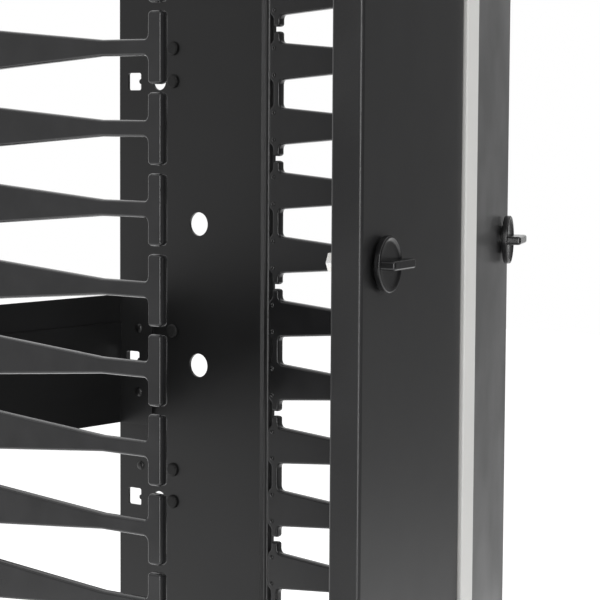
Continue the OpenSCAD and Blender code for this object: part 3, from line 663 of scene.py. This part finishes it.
COMB_RIVET = [(0, 0.4), (0.15, 1.0), (0.5, 1.5), (0.9, 1.7), (0.95, 1.2),
              (9.0, 1.2), (9.7, 1.2), (9.9, 0.6)]
DOME = [(0, 0.9), (0.2, 2.0), (0.8, 3.0), (1.6, 3.5), (1.65, 2.0)]
PANEL_RIVET = DOME + [(4.3, 2.0), (4.6, 1.2)]
SCREW = DOME + [(6.3, 2.0), (6.6, 1.2)]
PLUG = [(0, 3.2), (0.15, 4.0), (0.7, 4.8), (1.6, 5.0), (2.2, 4.9), (2.25, 3.0),
        (5.6, 3.0), (6.2, 2.0)]
for side in ("left", "right"):
    heads(f"{side}_comb_rivets", f"{side}_comb_rivet_heads", COMB_RIVET, 12, rivet_paint)
heads("panel_rivets", "panel_rivet_heads", PANEL_RIVET, 14, sheet_paint)
heads("hole_plugs", "hole_plug_heads", PLUG, 18, plug_plastic)
heads("cross_member_screws", "cross_member_rivet_heads", SCREW, 14, sheet_paint)
softened("plate_screws", rivet_zinc, 0.4 * MM)

# %% [markdown]
# ## Room, lights and camera
#
# The object stands in a white room. The floor and the world show as white to the
# camera and in reflections, while the light that they cast is plain and soft. Area lamps
# stand in for the softboxes.
# %% White room
def seen_white(tree):
    """One for rays from the camera, a mirror or glass, zero for the light that falls on things."""
    path = tree.nodes.new("ShaderNodeLightPath")
    value = path.outputs["Is Camera Ray"]
    for name in ("Is Glossy Ray", "Is Transmission Ray"):
        larger = tree.nodes.new("ShaderNodeMath")
        larger.operation = "MAXIMUM"
        tree.links.new(value, larger.inputs[0])
        tree.links.new(path.outputs[name], larger.inputs[1])
        value = larger.outputs[0]
    return value


AMBIENT = 0.45
FLOOR_GLOW = 0.75
world = bpy.data.worlds.new("white room")
bpy.context.scene.world = world
world.use_nodes = True
background = world.node_tree.nodes["Background"]
background.inputs["Color"].default_value = (1, 1, 1, 1)
brightness = spread(world.node_tree, seen_white(world.node_tree), AMBIENT, 1.0, 0.0, 1.0)
world.node_tree.links.new(brightness, background.inputs["Strength"])

FLOOR_REACH = 9.0
floor_mesh = bpy.data.meshes.new("floor")
floor_corners = FLOOR_REACH * np.array([(-1, -1, 0), (1, -1, 0), (1, 1, 0), (-1, 1, 0)])
floor_mesh.from_pydata(floor_corners.tolist(), [], [(0, 1, 2, 3)])
floor = bpy.data.objects.new("floor", floor_mesh)
bpy.context.scene.collection.objects.link(floor)

floor_finish, tree, shader, place = new_finish("pale floor")
shader.inputs["Base Color"].default_value = (0.8, 0.8, 0.8, 1)
shader.inputs["Roughness"].default_value = 0.9
shader.inputs["Emission Color"].default_value = (1, 1, 1, 1)
shader.inputs["Specular IOR Level"].default_value = 0.0
glow = spread(tree, seen_white(tree), 0.0, FLOOR_GLOW, 0.0, 1.0)
tree.links.new(glow, shader.inputs["Emission Strength"])
floor_mesh.materials.append(floor_finish)

# %% [markdown]
# A softbox is a lamp behind cloth, and an area lamp with a side of two metres does the same.
# Three of them are enough: one from the front, one from the left and one from behind, so that
# no side is black. They are hidden from reflections, where the cards of the next step take
# their place.
# %% Softboxes
def placed(x, y, z, place):
    """Matrix whose columns are the axes x, y, z and the place."""
    return Matrix([[*row, p] for row, p in zip(np.stack([x, y, z], 1), place)] + [[0, 0, 0, 1]])


def softbox(name, place, target, size, power):
    """Square area lamp that faces its target."""
    lamp = bpy.data.lights.new(name, "AREA")
    lamp.shape, lamp.size, lamp.energy = "SQUARE", size, power
    lamp_object = bpy.data.objects.new(name, lamp)
    bpy.context.scene.collection.objects.link(lamp_object)
    z = np.array(place, float) - np.array(target, float)
    z /= np.linalg.norm(z)
    x = np.cross([0, 0, 1], z)
    x /= np.linalg.norm(x)
    lamp_object.visible_glossy = False
    lamp_object.matrix_world = placed(x, np.cross(z, x), z, place)


MIDDLE = (0, 0, 1.1)
softbox("front softbox", (0.6, -3.4, 2.6), MIDDLE, 2.2, 60)
softbox("left softbox", (-3.2, -0.6, 2.4), MIDDLE, 2.0, 45)
softbox("back softbox", (1.2, 3.2, 2.6), MIDDLE, 2.2, 45)

# %% [markdown]
# Dark paint shows mostly what it mirrors. In an all-white room every black face would turn the
# same grey, so a studio hangs cards round the subject. Each card here fills a range of
# bearings and is seen only in reflections: dark ones deepen the faces, a narrow bright one
# draws the thin lines along the rounded edges.
# %% Cards
def card(name, start, end, level, reach=4.0, low=-0.5, high=4.5, steps=4):
    """Upright card from bearing start to end in degrees, (reach cos b, reach sin b, z)."""
    bearing = np.radians(np.linspace(start, end, steps + 1))
    ring = np.stack([reach * np.cos(bearing), reach * np.sin(bearing)], 1)
    points = [(*spot, z) for z in (low, high) for spot in ring]
    mesh = bpy.data.meshes.new(name)
    mesh.from_pydata(points, [], [(i, i + 1, i + steps + 2, i + steps + 1) for i in range(steps)])
    board = bpy.data.objects.new(name, mesh)
    bpy.context.scene.collection.objects.link(board)
    board.visible_camera = board.visible_diffuse = board.visible_shadow = False
    board.visible_transmission = board.visible_volume_scatter = False
    finish, tree, shader, place = new_finish(name)
    shader.inputs["Base Color"].default_value = (0, 0, 0, 1)
    shader.inputs["Specular IOR Level"].default_value = 0.0
    shader.inputs["Emission Color"].default_value = (1, 1, 1, 1)
    shader.inputs["Emission Strength"].default_value = level
    mesh.materials.append(finish)


CARDS = {"left rear card": (118, 166, 0.55), "left card": (166, 205, 0.12),
         "bright card": (207, 224, 8.0), "front card": (226, 333, 0.16),
         "right card": (333, 372, 0.23)}
for name, (start, end, level) in CARDS.items():
    card(name, start, end, level)
print(len(CARDS), "cards")

# %% [markdown]
# A long lens from a few steps away, at chest height, looks slightly down along the left side
# wall into the duct. Its axes come from a bearing, a small downward tilt and a trace of roll.
# %% Camera
CAMERA_PLACE = (-1.0636, -0.9383, 1.1420)
LENS, SENSOR = 133.4, 36
BEARING, TILT, ROLL = math.radians(37.795), math.radians(4.782), math.radians(0.335)
forward = np.array([math.cos(TILT) * math.cos(BEARING), math.cos(TILT) * math.sin(BEARING),
                    -math.sin(TILT)])
level = np.array([math.sin(BEARING), -math.cos(BEARING), 0.0])
rise = np.cross(level, forward)
right = level * math.cos(ROLL) + rise * math.sin(ROLL)
up = rise * math.cos(ROLL) - level * math.sin(ROLL)
camera_data = bpy.data.cameras.new("camera")
camera_data.lens, camera_data.sensor_width = LENS, SENSOR
camera = bpy.data.objects.new("camera", camera_data)
bpy.context.scene.collection.objects.link(camera)
camera.matrix_world = placed(right, up, -forward, CAMERA_PLACE)
bpy.context.scene.camera = camera
bpy.context.scene.view_settings.view_transform = "Standard"
